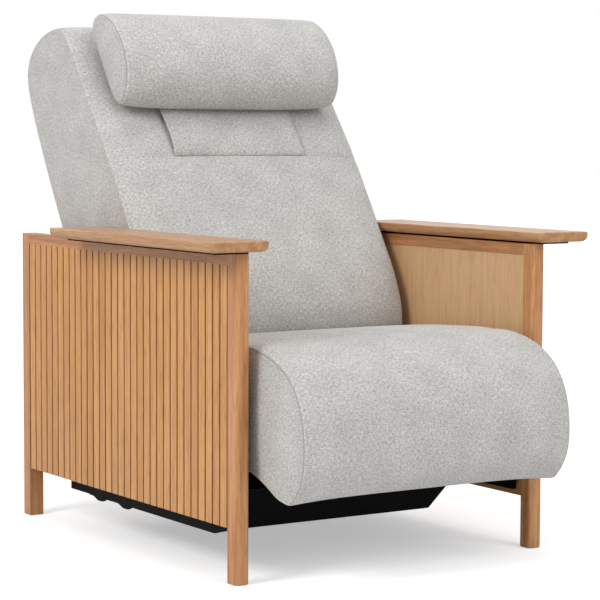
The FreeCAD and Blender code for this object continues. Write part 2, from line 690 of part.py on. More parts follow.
def drive_line(hinge, rest_angle, arm, travel):
    """Rest place of a drive's pin, the unit direction of its push, and its stroke."""
    middle = math.radians(rest_angle - travel / 2)
    half = math.radians(travel / 2)
    foot = (hinge[0] + arm * math.sin(middle), hinge[1] - arm * math.cos(middle))
    push = (-math.cos(middle), -math.sin(middle))
    reach = arm * math.tan(half)
    start = (foot[0] - push[0] * reach, foot[1] - push[1] * reach)
    return start, push, 2 * reach


RECLINE_REST_ANGLE = BACK_RECLINE / 2
RECLINE_PIN, RECLINE_PUSH, RECLINE_STROKE = drive_line(
    (BACK_HINGE_Y, BACK_HINGE_Z), RECLINE_REST_ANGLE, RECLINE_ARM, BACK_RECLINE)
LEG_REST_ANGLE = math.degrees(math.atan2(
    LEG_PAD_REAR + LEG_BOARD_THICK + LEVER_WIDTH / 2 + LEG_LUG_BACK - LEG_HINGE_Y, LEG_ARM))
LEG_PIN, LEG_PUSH, LEG_STROKE = drive_line((LEG_HINGE_Y, LEG_HINGE_Z), LEG_REST_ANGLE, LEG_ARM,
                                           LEG_LIFT_ANGLE)


def tail_place(pin, outward, stroke_left):
    """Centre of the cross tube that holds a drive's tail."""
    reach = FORK_REACH + stroke_left + ACTUATOR_LENGTH + CROSS_TUBE_RADIUS
    return pin[0] + outward[0] * reach, pin[1] + outward[1] * reach


FORK_REACH = 2 * LEVER_WIDTH
RECLINE_TAIL = tail_place(RECLINE_PIN, RECLINE_PUSH, RECLINE_STROKE)
LEG_TAIL = tail_place(LEG_PIN, (-LEG_PUSH[0], -LEG_PUSH[1]), 0)


def drive(prefix, pin, outward, x, tail, room):
    """A linear drive: housing on its cross tube, and a rod whose fork holds the lever's pin."""
    def at(distance, dx=0.0):
        return (x + dx, pin[0] + outward[0] * distance, pin[1] + outward[1] * distance)

    length = math.hypot(tail[0] - pin[0], tail[1] - pin[1]) - CROSS_TUBE_RADIUS
    mouth = length - ACTUATOR_LENGTH
    housing = rod(at(mouth), at(length), ACTUATOR_RADIUS)
    gearbox = rod(at(length - 3 * CROSS_TUBE_RADIUS), at(length - TUBE_WALL),
                  ACTUATOR_RADIUS * GEARBOX_SWELL)
    bore = rod(at(mouth), at(length - 4 * CROSS_TUBE_RADIUS), ACTUATOR_ROD_RADIUS + FIT_GAP * 2)
    body = fused([housing, gearbox]).cut(bore)
    body = body.cut(across(x - 4 * ACTUATOR_RADIUS, x + 4 * ACTUATOR_RADIUS, tail[0], tail[1],
                           CROSS_TUBE_RADIUS))
    parts[prefix + "_actuator"] = body
    half = LEVER_THICK / 2 + FORK_GAP
    neck = rod(at(FORK_REACH - FORK_EAR), at(mouth + room), ACTUATOR_ROD_RADIUS)
    pieces = [neck]
    pieces.append(fork_block(x, pin, outward, half))
    pieces.append(across(x - half - FORK_EAR, x + half + FORK_EAR, pin[0], pin[1], DRIVE_PIN_RADIUS))
    parts[prefix + "_rod"] = fused(pieces)


def fork_block(x, pin, outward, half):
    """Two ears round the lever and the bridge behind it, as one fork."""
    normal = (outward[1], -outward[0])
    width = DRIVE_PIN_RADIUS * 2

    def point(along, aside):
        return (pin[0] + outward[0] * along + normal[0] * aside,
                pin[1] + outward[1] * along + normal[1] * aside)

    full = [point(-width, -width), point(FORK_REACH, -width),
            point(FORK_REACH, width), point(-width, width)]
    block = plate(full, [LEVER_ROUND] * 4, x - half - FORK_EAR, x + half + FORK_EAR)
    gap_end = FORK_REACH - 2 * FORK_EAR
    gap = [point(-3 * width, -3 * width), point(gap_end, -3 * width), point(gap_end, 3 * width),
           point(-3 * width, 3 * width)]
    return block.cut(plate(gap, [EDGE_ROUND] * 4, x - half, x + half))


def hinge_pins():
    """Headed pins in the side plates that carry the hinge ears."""
    pins = []
    for y, z in ((BACK_HINGE_Y, BACK_HINGE_Z), (LEG_HINGE_Y, LEG_HINGE_Z)):
        for name, side in SIDES:
            inner = RAIL_OUTER_X - EAR_GAP - EAR_THICK
            outer = RAIL_OUTER_X + SIDE_PLATE_THICK
            shank = across(side * inner, side * outer, y, z, HINGE_RADIUS)
            head = across(side * outer, side * (outer + SHEET), y, z, HINGE_RADIUS * PIN_HEAD_SWELL)
            pins.append(shank.fuse(head))
    parts["hinge_pins"] = Part.makeCompound(pins)


def back_pads():
    """Front pad, top pad, two side pads and the rear cover, in the back's own frame."""
    slim = PAD_DRAW + 1
    front = [
        (-BACK_PAD_FOOT, BACK_PAD_BOTTOM), (-BACK_LUMBAR, BACK_LUMBAR_HEIGHT),
        (-BACK_FRONT, BACK_SHOULDER), (-BACK_CREST, BACK_TOP - BACK_COVER_THICK * 2),
        (-BACK_PAD_REAR, BACK_TOP - BACK_COVER_THICK), (-BACK_PAD_REAR, BACK_PAD_BOTTOM),
    ]
    radii = [slim, BACK_LUMBAR_ROUND, BACK_SHOULDER_ROUND, PAD_EDGE, slim, slim]
    parts["back_front_pad"] = leaned(cushion(front, radii, PAD_WIDTH, PAD_EDGE, PAD_DRAW, PAD_CROWN))
    inner = -BACK_PAD_REAR + SOFT_GAP
    top = [
        (inner, BACK_CAP_BOTTOM), (inner, BACK_TOP - BACK_COVER_THICK), (BACK_PAD_REAR, BACK_TOP),
        (BACK_REAR, BACK_TOP), (BACK_REAR, BACK_CAP_BOTTOM),
    ]
    radii = [slim, slim, BACK_CROWN_ROUND, BACK_TOP_ROUND, slim]
    parts["back_top_pad"] = leaned(cushion(top, radii, PAD_WIDTH, PAD_EDGE, PAD_DRAW, PAD_CROWN))
    cap = BACK_CAP_BOTTOM - SOFT_GAP
    rear = BACK_REAR - BACK_COVER_THICK
    for name, side in SIDES:
        x0 = side * (PAD_WIDTH / 2 - BACK_SIDE_THICK - SOFT_GAP)
        x1 = side * (PAD_WIDTH / 2 - PAD_CROWN)
        corner = PAD_EDGE - 2 * PAD_CROWN
        outline = [(inner, BACK_FOAM_BOTTOM), (rear, BACK_FOAM_BOTTOM), (rear, cap), (inner, cap)]
        parts["back_side_pad_" + name] = leaned(plate(outline, [corner] * 4, x0, x1))
    cover_front = rear + SOFT_GAP
    outline = [(cover_front, BACK_FOAM_BOTTOM), (BACK_REAR, BACK_FOAM_BOTTOM), (BACK_REAR, cap),
               (cover_front, cap)]
    parts["back_rear_cover"] = leaned(cushion(outline, [2 * EDGE_ROUND, slim, slim, 2 * EDGE_ROUND],
                                              PAD_WIDTH, PAD_EDGE, PAD_DRAW / 2, PAD_CROWN / 2))


def head_pillow():
    """Oval bolster in front of the top of the back, and the flap that hangs under it."""
    rear = -BACK_LUMBAR - SOFT_GAP + (BACK_LUMBAR - BACK_FRONT) * (
        (PILLOW_BOTTOM - BACK_LUMBAR_HEIGHT) / (BACK_SHOULDER - BACK_LUMBAR_HEIGHT))
    front = rear - PILLOW_THICK
    top = PILLOW_BOTTOM + PILLOW_HEIGHT
    outline = [(rear, PILLOW_BOTTOM), (rear, top), (front, top), (front, PILLOW_BOTTOM)]
    radii = [PILLOW_REAR_ROUND, PILLOW_REAR_ROUND, PILLOW_ROUND, PILLOW_ROUND]
    parts["head_pillow"] = leaned(cushion(outline, radii, PILLOW_LENGTH, PAD_EDGE, PAD_DRAW, PAD_CROWN))
    slope = (BACK_LUMBAR - BACK_FRONT) / (BACK_SHOULDER - BACK_LUMBAR_HEIGHT)

    def skin(height):
        return -BACK_LUMBAR + slope * (height - BACK_LUMBAR_HEIGHT) - SOFT_GAP

    top = PILLOW_BOTTOM + PAD_CROWN
    outline = [
        (skin(FLAP_BOTTOM), FLAP_BOTTOM), (skin(top), PILLOW_BOTTOM - SOFT_GAP),
        (skin(top) - FLAP_THICK, PILLOW_BOTTOM - SOFT_GAP), (skin(FLAP_BOTTOM) - FLAP_THICK, FLAP_BOTTOM),
    ]
    parts["neck_flap"] = leaned(plate(outline, [EDGE_ROUND] * 4, -FLAP_WIDTH / 2, FLAP_WIDTH / 2))


def back_frame():
    """Welded frame inside the back: side uprights, cross bars, hinge tube with ears, lever."""
    x1 = PAD_WIDTH / 2 - BACK_SIDE_THICK - 2 * SOFT_GAP
    x0 = x1 - UPRIGHT_THICK
    front = -BACK_PAD_REAR + SOFT_GAP
    top = BACK_CAP_BOTTOM - SOFT_GAP
    bar_front = GUIDE_FRONT + GUIDE_SIZE
    reach = RAIL_OUTER_X - EAR_GAP
    pieces = []
    for name, side in SIDES:
        pieces.append(box(side * x0, side * x1, front, UPRIGHT_REAR, BACK_FOAM_BOTTOM, top))
        pieces.append(box(side * x0, side * x1, HINGE_TUBE_SET - EAR_RADIUS, HINGE_TUBE_SET + EAR_RADIUS,
                          -UPRIGHT_FOOT, BACK_FOAM_BOTTOM))
        ring, bore = ear(0, 0, side, EAR_RADIUS)
        pieces.append(ring.cut(bore))
        pieces.append(across(side * x1, side * (reach - EAR_THICK), HINGE_STUB_SET, 0, HINGE_TUBE_RADIUS))
    for z in (BACK_FOAM_BOTTOM, BACK_CAP_BOTTOM - 2 * CROSS_BAR):
        pieces.append(box(-x1, x1, bar_front, bar_front + CROSS_BAR, z, z + CROSS_BAR))
    pieces.append(across(-x1, x1, HINGE_TUBE_SET, 0, HINGE_TUBE_RADIUS))
    frame = leaned(fused(pieces))
    arm, slot = lever((BACK_HINGE_Y, BACK_HINGE_Z), RECLINE_REST_ANGLE, RECLINE_ARM, BACK_RECLINE,
                      RECLINE_X, RECLINE_SLOT_PLAY)
    parts["back_frame"] = fused([frame, arm]).cut(slot)


def guides():
    """Two square guide bars and the fixed lead screw between the cross bars."""
    bars = []
    low = BACK_FOAM_BOTTOM
    high = BACK_CAP_BOTTOM - CROSS_BAR
    half = GUIDE_SIZE / 2
    for name, side in SIDES:
        bar = box(side * GUIDE_X - half, side * GUIDE_X + half, GUIDE_FRONT, GUIDE_FRONT + GUIDE_SIZE,
                  low, high)
        bars.append(leaned(bar))
    parts["guide_bars"] = Part.makeCompound(bars)
    depth = GUIDE_FRONT + GUIDE_SIZE - SCREW_RADIUS
    parts["lead_screw"] = leaned(rod((SCREW_X, depth, low), (SCREW_X, depth, high), SCREW_RADIUS))


def carriage():
    """Plate on four-sided shoes, with the kneading motor, the shaft and the lift drive."""
    z = CARRIAGE_HEIGHT
    half = GUIDE_SIZE / 2
    wall = SHOE_WALL
    shoe_front = GUIDE_FRONT - wall
    shoe_rear = GUIDE_FRONT + GUIDE_SIZE + wall
    screw_y = GUIDE_FRONT + GUIDE_SIZE - SCREW_RADIUS
    shoes = []
    for name, side in SIDES:
        x = side * GUIDE_X
        shoe = box(x - half - wall, x + half + wall, shoe_front, shoe_rear, z - SHOE_LENGTH / 2,
                   z + SHOE_LENGTH / 2)
        room = box(x - half - SOFT_GAP, x + half + SOFT_GAP, GUIDE_FRONT - SOFT_GAP,
                   GUIDE_FRONT + GUIDE_SIZE + SOFT_GAP, z - SHOE_LENGTH, z + SHOE_LENGTH)
        shoes.append(leaned(shoe.cut(room)))
    parts["guide_shoes"] = Part.makeCompound(shoes)
    rear = shoe_front
    front = rear - CARRIAGE_THICK
    reach = GUIDE_X + half + wall
    body = [box(-reach, reach, front, rear, z - CARRIAGE_HALF, z + CARRIAGE_HALF)]
    for name, side in SIDES:
        lug = box(side * LUG_X, side * (LUG_X - LUG_THICK), SHAFT_DEPTH - 2 * SHAFT_RADIUS, front,
                  z - ARM_BOSS_RADIUS, z + ARM_BOSS_RADIUS)
        body.append(lug)
    shaft_bore = across(-LUG_X, LUG_X, SHAFT_DEPTH, z, SHAFT_RADIUS + FIT_GAP)
    parts["carriage_plate"] = leaned(fused(body).cut(shaft_bore))
    parts["kneading_shaft"] = leaned(across(-SHAFT_LENGTH / 2, SHAFT_LENGTH / 2, SHAFT_DEPTH, z,
                                            SHAFT_RADIUS))
    motor = across(-MOTOR_LENGTH / 2, MOTOR_LENGTH / 2, rear + MOTOR_RADIUS, z, MOTOR_RADIUS)
    foot = box(-MOTOR_LENGTH / 3, MOTOR_LENGTH / 3, rear, rear + MOTOR_RADIUS, z - MOTOR_RADIUS,
               z + MOTOR_RADIUS)
    parts["kneading_motor"] = leaned(fused([motor, foot]))
    nut = box(SCREW_X - 2 * wall, SCREW_X + 2 * wall, rear, screw_y + 2 * wall, z - CARRIAGE_HALF,
              z + CARRIAGE_HALF)
    thread = rod((SCREW_X, screw_y, z - 2 * CARRIAGE_HALF), (SCREW_X, screw_y, z + 2 * CARRIAGE_HALF),
                 SCREW_RADIUS + FIT_GAP)
    parts["lift_drive"] = leaned(nut.cut(thread))


def roller(x, y, z, radius, width):
    """Barrel roller along X with rounded shoulders and a bore."""
    body = across(x - width / 2, x + width / 2, y, z, radius)
    rims = [e for e in body.Edges if e.BoundBox.XLength < 1e-6]
    body = body.makeFillet(radius * ROLLER_ROUND_SHARE, rims)
    return body.cut(across(x - width, x + width, y, z, AXLE_RADIUS + FIT_GAP))


def massage_arms():
    """S-shaped arms on the shaft, each with an upper and a lower roller on stub axles."""
    z = CARRIAGE_HEIGHT
    upper = (UPPER_ROLLER_DEPTH, z + UPPER_ROLLER_UP)
    lower = (LOWER_ROLLER_DEPTH, z - LOWER_ROLLER_DOWN)
    for name, side in SIDES:
        x0 = side * (ARM_X - ARM_PLATE / 2)
        x1 = side * (ARM_X + ARM_PLATE / 2)
        half = ARM_BAR / 2
        bend = [
            (upper[0] - half, upper[1]), (upper[0] + half, upper[1]),
            (SHAFT_DEPTH + ARM_BEND_REAR, z + ARM_BEND_UP), (SHAFT_DEPTH + half, z - ARM_ELBOW_DOWN),
            (lower[0] + half, lower[1]), (lower[0] - half, lower[1]),
            (SHAFT_DEPTH - half, z - ARM_ELBOW_DOWN), (SHAFT_DEPTH - ARM_BEND_FRONT, z + ARM_BEND_UP),
        ]
        bar = plate(bend, [ARM_EASE, ARM_EASE, ARM_BEND_ROUND, ARM_ELBOW_ROUND, ARM_EASE, ARM_EASE,
                           ARM_ELBOW_ROUND, ARM_BEND_ROUND], x0, x1)
        ends = [across(x0, x1, upper[0], upper[1], half), across(x0, x1, lower[0], lower[1], half)]
        boss = across(x0, x1, SHAFT_DEPTH, z, ARM_BOSS_RADIUS)
        arm = fused([bar, boss] + ends)
        arm = arm.cut(across(x0, x1, SHAFT_DEPTH, z, SHAFT_RADIUS + FIT_GAP))
        axles = []
        for (y, height), radius, width, node in (
                (upper, UPPER_ROLLER_RADIUS, UPPER_ROLLER_WIDTH, "upper_roller_"),
                (lower, LOWER_ROLLER_RADIUS, LOWER_ROLLER_WIDTH, "lower_roller_")):
            centre = side * (ARM_INNER_X - ROLLER_SIDE_GAP - width / 2)
            inner = side * (ARM_INNER_X - 2 * ROLLER_SIDE_GAP - width)
            arm = arm.cut(across(x0, x1, y, height, AXLE_RADIUS))
            axle = across(inner, x1, y, height, AXLE_RADIUS)
            cap = across(inner, inner - side * SHEET, y, height, AXLE_RADIUS * PIN_HEAD_SWELL)
            axles.append(leaned(axle.fuse(cap)))
            parts[node + name] = leaned(roller(centre, y, height, radius, width))
        parts["massage_arm_" + name] = leaned(arm)
        parts["roller_axles_" + name] = Part.makeCompound(axles)


for side_name, side_sign in SIDES:
    wooden_side(side_name, side_sign)
parts["armrest_screws"] = Part.makeCompound(armrest_screws(-1) + armrest_screws(1))
base()
seat()
hinge_pins()
legrest()
back_pads()
head_pillow()
back_frame()
guides()
carriage()
massage_arms()
drive("recline", RECLINE_PIN, RECLINE_PUSH, RECLINE_X, RECLINE_TAIL, 2 * FORK_EAR)
drive("legrest", LEG_PIN, (-LEG_PUSH[0], -LEG_PUSH[1]), LEG_X, LEG_TAIL, LEG_STROKE + 2 * FORK_EAR)

FRONT_REACH = parts["leg_pad"].optimalBoundingBox().YMin
REAR_REACH = max(parts[n].optimalBoundingBox().YMax for n in ("back_top_pad", "back_rear_cover"))
TO_ORIGIN = FreeCAD.Vector(0, -(FRONT_REACH + REAR_REACH) / 2, 0)

os.makedirs("parts", exist_ok=True)
for node_name, node_shape in parts.items():
    placed = node_shape.copy()
    placed.translate(TO_ORIGIN)
    placed.exportStep(os.path.join("parts", node_name + ".step"))
    solids = placed.Solids
    if not placed.isValid() or not solids:
        print("check", node_name, placed.isValid(), len(solids))

print("nodes", len(parts), "moved along Y by", round(TO_ORIGIN.y, 3))
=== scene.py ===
import json
import math

import bmesh
import bpy
import numpy as np
from mathutils import Matrix, Vector


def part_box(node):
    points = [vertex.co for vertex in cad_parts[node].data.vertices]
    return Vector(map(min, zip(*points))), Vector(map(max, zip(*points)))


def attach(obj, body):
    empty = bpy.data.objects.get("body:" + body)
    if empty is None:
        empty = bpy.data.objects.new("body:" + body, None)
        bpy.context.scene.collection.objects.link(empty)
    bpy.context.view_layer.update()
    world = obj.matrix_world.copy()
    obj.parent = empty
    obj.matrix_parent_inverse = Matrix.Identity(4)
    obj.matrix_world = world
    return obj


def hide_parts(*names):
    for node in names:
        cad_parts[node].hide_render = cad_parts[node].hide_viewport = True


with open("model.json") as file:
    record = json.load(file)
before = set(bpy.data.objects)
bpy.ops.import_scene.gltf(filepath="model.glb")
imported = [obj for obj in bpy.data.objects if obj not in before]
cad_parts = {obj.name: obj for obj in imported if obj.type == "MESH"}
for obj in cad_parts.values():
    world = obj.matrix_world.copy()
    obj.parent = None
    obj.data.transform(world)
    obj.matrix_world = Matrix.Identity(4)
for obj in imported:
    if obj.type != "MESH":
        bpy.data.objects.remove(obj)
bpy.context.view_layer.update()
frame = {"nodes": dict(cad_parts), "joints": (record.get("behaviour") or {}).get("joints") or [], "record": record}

# Camera, fitted to the posts, rails and armrests. Places are in metres from the frame's origin.
CAMERA_PLACE = (-2.3213, -3.6932, 0.8159)
CAMERA_YAW = 32.72
CAMERA_PITCH = 4.55
CAMERA_ROLL = 0.23
CAMERA_LENS = 131.0

# Backrest's own frame: b square to the back and towards its rear, a up along it, from the hinge.
BACK_HINGE = next(j["pos_m"] for j in frame["joints"] if j["name"] == "back_recline")
BACK_LEAN = math.radians(33.0)
MM = 0.001

# Seams, in millimetres: the width of the painted shade in the fold at the seam, and the row of stitches beside it.
FOLD_SHADE_WIDTH = 1.6
STITCH_ROW = 7.0
STITCH_LENGTH = 4.0
DOUBLE_SEAM_GAP = 9.0

# Cloth simulation: how firmly the seams hold the cover, with reaches in millimetres.
SEAM_HELD = 1.3
SEAM_HOLD_REACH = 14.0
HOLD_LEVELS = 10
CLOTH_PRESSURE = 4.0
CLOTH_STIFFNESS = 18.0

# Slatted boards, in millimetres: a groove beside every slat and at both ends.
SLAT_COUNT = 31
SLAT_GROOVE = 4.0
SLAT_DEPTH = 6.0
SLAT_ROUND = 1.4


def linear(hex_colour):
    """An sRGB hex colour as linear red, green, blue and alpha."""
    values = [int(hex_colour[i:i + 2], 16) / 255 for i in (1, 3, 5)]
    return [v / 12.92 if v <= 0.04045 else ((v + 0.055) / 1.055) ** 2.4 for v in values] + [1.0]


def add(tree, kind, settings=None, links=None):
    """Adds a node, sets its properties and sockets, and links other nodes' outputs to it."""
    node = tree.nodes.new(kind)
    for key, value in (settings or {}).items():
        if isinstance(key, int) or key in node.inputs:
            node.inputs[key].default_value = value
        else:
            setattr(node, key, value)
    for key, output in (links or {}).items():
        tree.links.new(output, node.inputs[key])
    return node


def ramp(tree, factor, stops):
    """A colour ramp with (place, hex colour) stops."""
    node = add(tree, "ShaderNodeValToRGB", links={"Fac": factor})
    elements = node.color_ramp.elements
    while len(elements) < len(stops):
        elements.new(0.5)
    for element, (place, colour) in zip(elements, stops):
        element.position = place
        element.color = linear(colour)
    return node.outputs["Color"]


def new_material(name, settings):
    """A material whose shader has these socket values."""
    material = bpy.data.materials.new(name)
    material.use_nodes = True
    shader = material.node_tree.nodes["Principled BSDF"]
    for key, value in settings.items():
        shader.inputs[key].default_value = value
    return material, material.node_tree, shader


def math_node(tree, operation, first, second=None, third=None, clamp=False):
    """A Math node. Each of its three inputs may be a number or an output."""
    node = add(tree, "ShaderNodeMath", {"operation": operation, "use_clamp": clamp})
    for i, value in enumerate((first, second, third)):
        if value is None:
            continue
        if isinstance(value, (int, float)):
            node.inputs[i].default_value = value
        else:
            tree.links.new(value, node.inputs[i])
    return node.outputs["Value"]


def mixed(tree, blend, factor, first, second):
    """A colour mix. The factor and the two colours may be values or outputs."""
    node = add(tree, "ShaderNodeMix", {"data_type": "RGBA", "blend_type": blend})
    for index, value in ((0, factor), (6, first), (7, second)):
        if isinstance(value, (int, float)) or isinstance(value, (list, tuple)):
            node.inputs[index].default_value = value
        else:
            tree.links.new(value, node.inputs[index])
    return node.outputs[2]


def noise(tree, vector, size, detail):
    """Noise with features of one size, in millimetres."""
    settings = {"Scale": 1 / (size * MM), "Detail": detail}
    return add(tree, "ShaderNodeTexNoise", settings, {"Vector": vector}).outputs["Fac"]


def upholstery(name):
    """Woven melange wool blend: pale warm grey yarn with darker and lighter flecks, matt, softly napped."""
    material, tree, shader = new_material(name, {
        "Roughness": 0.92, "Sheen Weight": 0.25, "Sheen Roughness": 0.5, "Specular IOR Level": 0.2})
    uv = add(tree, "ShaderNodeUVMap").outputs["UV"]
    # Yarns lie 1.1 mm apart in the cloth. They are drawn 2.4 mm apart, so that they show in the picture.
    yarn = 2.4 * MM
    warp = add(tree, "ShaderNodeMapping", {"Scale": (1 / yarn, 0.35 / yarn, 1)}, {"Vector": uv})
    weft = add(tree, "ShaderNodeMapping", {"Scale": (0.35 / yarn, 1 / yarn, 1)}, {"Vector": uv})
    flecks = []
    for mapping in (warp, weft):
        flecks.append(add(tree, "ShaderNodeTexNoise", {"Scale": 1.0, "Detail": 2.0, "Roughness": 0.6},
                          {"Vector": mapping.outputs["Vector"]}).outputs["Fac"])
    both = math_node(tree, "ADD", flecks[0], flecks[1])
    spread = math_node(tree, "MULTIPLY_ADD", both, 1.6, -1.1, clamp=True)
    colour = ramp(tree, spread, [
        (0.0, "#9a9895"), (0.35, "#b4b2af"), (0.55, "#c0bfbc"), (0.8, "#ceccca"), (1.0, "#dcdad8")])
    # The nap lies unevenly, in clouds 60 mm across.
    cloud = noise(tree, uv, 60, 3.0)
    shade = ramp(tree, cloud, [(0.3, "#eeeeee"), (0.7, "#ffffff")])
    colour = mixed(tree, "MULTIPLY", 1.0, colour, shade)
    # The attribute holds the distance to the seam: painted shade in the fold there, and dashes of thread beside
    # it.
    seam = add(tree, "ShaderNodeAttribute", {"attribute_name": "seam"}).outputs["Fac"]
    fold_shade_mask = math_node(tree, "SUBTRACT", 1.0, math_node(tree, "DIVIDE", seam, FOLD_SHADE_WIDTH * MM), clamp=True)
    split = add(tree, "ShaderNodeSeparateXYZ", links={"Vector": uv})
    turns = math_node(tree, "MULTIPLY", split.outputs["Y"], 2 * math.pi / (STITCH_LENGTH * MM))
    dash = math_node(tree, "GREATER_THAN", math_node(tree, "SINE", turns), -0.4)
    beside = math_node(tree, "ABSOLUTE", math_node(tree, "SUBTRACT", seam, STITCH_ROW * MM))
    row = math_node(tree, "SUBTRACT", 1.0, math_node(tree, "DIVIDE", beside, 0.9 * MM), clamp=True)
    stitch = math_node(tree, "MULTIPLY", row, math_node(tree, "MULTIPLY_ADD", dash, 0.5, 0.3))
    # Painted shade in the seam's fold, up to 60 % of the way to dark grey, joined with the thread's dashes.
    painted_fold_shade = math_node(tree, "MULTIPLY", fold_shade_mask, 0.6)
    dark = math_node(tree, "MAXIMUM", painted_fold_shade, math_node(tree, "MULTIPLY", stitch, 0.4))
    colour = mixed(tree, "MIX", dark, colour, linear("#77736e"))
    tree.links.new(colour, shader.inputs["Base Color"])
    height = math_node(tree, "SUBTRACT", both, math_node(tree, "MULTIPLY", dark, 3.0))
    bump = add(tree, "ShaderNodeBump", {"Strength": 0.55, "Distance": 0.5 * MM}, {"Height": height})
    tree.links.new(bump.outputs["Normal"], shader.inputs["Normal"])
    return material


def oak(name, along, base, dark, light, rows=None, gloss=0.42, pored=0.75):
    """Satin lacquered oak: broad growth bands, fine open pores along the grain, a thin clear coat.

    Rows, for slats, are where the first strip starts, the strips' pitch and the face's distance from X 0.
    """
    material, tree, shader = new_material(name, {
        "Roughness": gloss, "Coat Weight": 0.25, "Coat Roughness": 0.3, "Specular IOR Level": 0.5})
    place = add(tree, "ShaderNodeTexCoord").outputs["Object"]
    shifted = place
    if rows:
        # Each slat is its own strip of wood, so its grain and its tone differ from the next.
        start, pitch, face = rows
        split = add(tree, "ShaderNodeSeparateXYZ", links={"Vector": place})
        from_start = math_node(tree, "SUBTRACT", split.outputs["Y"], start)
        index = math_node(tree, "FLOOR", math_node(tree, "DIVIDE", from_start, pitch))
        tone = add(tree, "ShaderNodeTexWhiteNoise", {"noise_dimensions": "1D"}, {"W": index}).outputs["Value"]
        up = math_node(tree, "MULTIPLY", tone, 3.0)
        offset = add(tree, "ShaderNodeCombineXYZ", links={"X": tone, "Z": up}).outputs["Vector"]
        moved = add(tree, "ShaderNodeVectorMath", {"operation": "ADD"}, {0: place, 1: offset})
        shifted = moved.outputs["Vector"]

    def stretched(width, length):
        """Coordinates for features of this width, drawn out to this length along the grain."""
        scale = [1 / (width * MM)] * 3
        scale["XYZ".index(along)] = 1 / (length * MM)
        return add(tree, "ShaderNodeMapping", {"Scale": scale}, {"Vector": shifted}).outputs["Vector"]

    # Oak's pores are about 0.3 mm wide. They are drawn 1.6 mm wide, so that they show in the picture.
    bands = add(tree, "ShaderNodeTexNoise", {"Scale": 1.0, "Detail": 3.0, "Distortion": 0.4},
                {"Vector": stretched(11.0, 260.0)}).outputs["Fac"]
    pores = add(tree, "ShaderNodeTexNoise", {"Scale": 1.0, "Detail": 2.0, "Roughness": 0.7},
                {"Vector": stretched(1.6, 45.0)}).outputs["Fac"]
    colour = ramp(tree, bands, [(0.3, dark), (0.5, base), (0.72, light)])
    pore_shade = ramp(tree, pores, [(0.32, "#b99c84"), (0.47, "#f4efe9"), (0.7, "#ffffff")])
    colour = mixed(tree, "MULTIPLY", pored, colour, pore_shade)
    if rows:
        tone_shade = ramp(tree, tone, [(0.0, "#efe8e0"), (0.5, "#f8f5f1"), (1.0, "#ffffff")])
        colour = mixed(tree, "MULTIPLY", 1.0, colour, tone_shade)
        # Painted shade: the grooves darken towards their roots, where little light gets in.
        depth = math_node(tree, "SUBTRACT", face, math_node(tree, "ABSOLUTE", split.outputs["X"]))
        share = math_node(tree, "DIVIDE", depth, SLAT_DEPTH * MM)
        groove_painted_shade = ramp(tree, share, [(0.12, "#ffffff"), (0.35, "#b5825a"), (0.9, "#7d4f2c")])
        colour = mixed(tree, "MULTIPLY", 1.0, colour, groove_painted_shade)
    tree.links.new(colour, shader.inputs["Base Color"])
    rough = math_node(tree, "MULTIPLY_ADD", pores, -0.15, gloss + 0.08)
    tree.links.new(rough, shader.inputs["Roughness"])
    bump = add(tree, "ShaderNodeBump", {"Strength": 0.25, "Distance": 0.2 * MM}, {"Height": pores})
    tree.links.new(bump.outputs["Normal"], shader.inputs["Normal"])
    return material


def powder_coat(name, colour, light):
    """Powder-coated steel: an even, dull colour with an orange-peel grain 0.9 mm across."""
    material, tree, shader = new_material(name, {"Roughness": 0.6, "Specular IOR Level": 0.1})
    place = add(tree, "ShaderNodeTexCoord").outputs["Object"]
    peel = noise(tree, place, 0.9, 2.0)
    dust = noise(tree, place, 70, 4.0)
    tree.links.new(ramp(tree, dust, [(0.35, colour), (0.75, light)]), shader.inputs["Base Color"])
    tree.links.new(math_node(tree, "MULTIPLY_ADD", dust, 0.2, 0.5), shader.inputs["Roughness"])
    bump = add(tree, "ShaderNodeBump", {"Strength": 0.3, "Distance": 0.1 * MM}, {"Height": peel})
    tree.links.new(bump.outputs["Normal"], shader.inputs["Normal"])
    return material


def zinc_plate(name):
    """Zinc-plated steel: bright grey metal with faint drawn lines.

    Real lines are finer than the 0.6 mm that they are drawn apart here, so that they show.
    """
    material, tree, shader = new_material(name, {"Metallic": 1.0, "Roughness": 0.32})
    place = add(tree, "ShaderNodeTexCoord").outputs["Object"]
    scale = (1 / (40 * MM), 1 / (0.6 * MM), 1 / (0.6 * MM))
    lines = add(tree, "ShaderNodeMapping", {"Scale": scale}, {"Vector": place}).outputs["Vector"]
    drawn = add(tree, "ShaderNodeTexNoise", {"Scale": 1.0, "Detail": 2.0}, {"Vector": lines}).outputs["Fac"]
    tree.links.new(ramp(tree, drawn, [(0.3, "#9c9da0"), (0.7, "#c6c7c9")]), shader.inputs["Base Color"])
    tree.links.new(math_node(tree, "MULTIPLY_ADD", drawn, 0.2, 0.22), shader.inputs["Roughness"])
    return material


def moulded(name, low, high, rough):
    """Moulded thermoplastic with a matt spark-eroded grain.

    A real grain is about 0.2 mm across. It is drawn 0.7 mm across, so that it shows.
    """
    material, tree, shader = new_material(name, {"Roughness": rough, "IOR": 1.5})
    place = add(tree, "ShaderNodeTexCoord").outputs["Object"]
    grain = noise(tree, place, 0.7, 2.0)
    haze = noise(tree, place, 30, 2.0)
    tree.links.new(ramp(tree, haze, [(0.3, low), (0.7, high)]), shader.inputs["Base Color"])
    bump = add(tree, "ShaderNodeBump", {"Strength": 0.2, "Distance": 0.1 * MM}, {"Height": grain})
    tree.links.new(bump.outputs["Normal"], shader.inputs["Normal"])
    return material


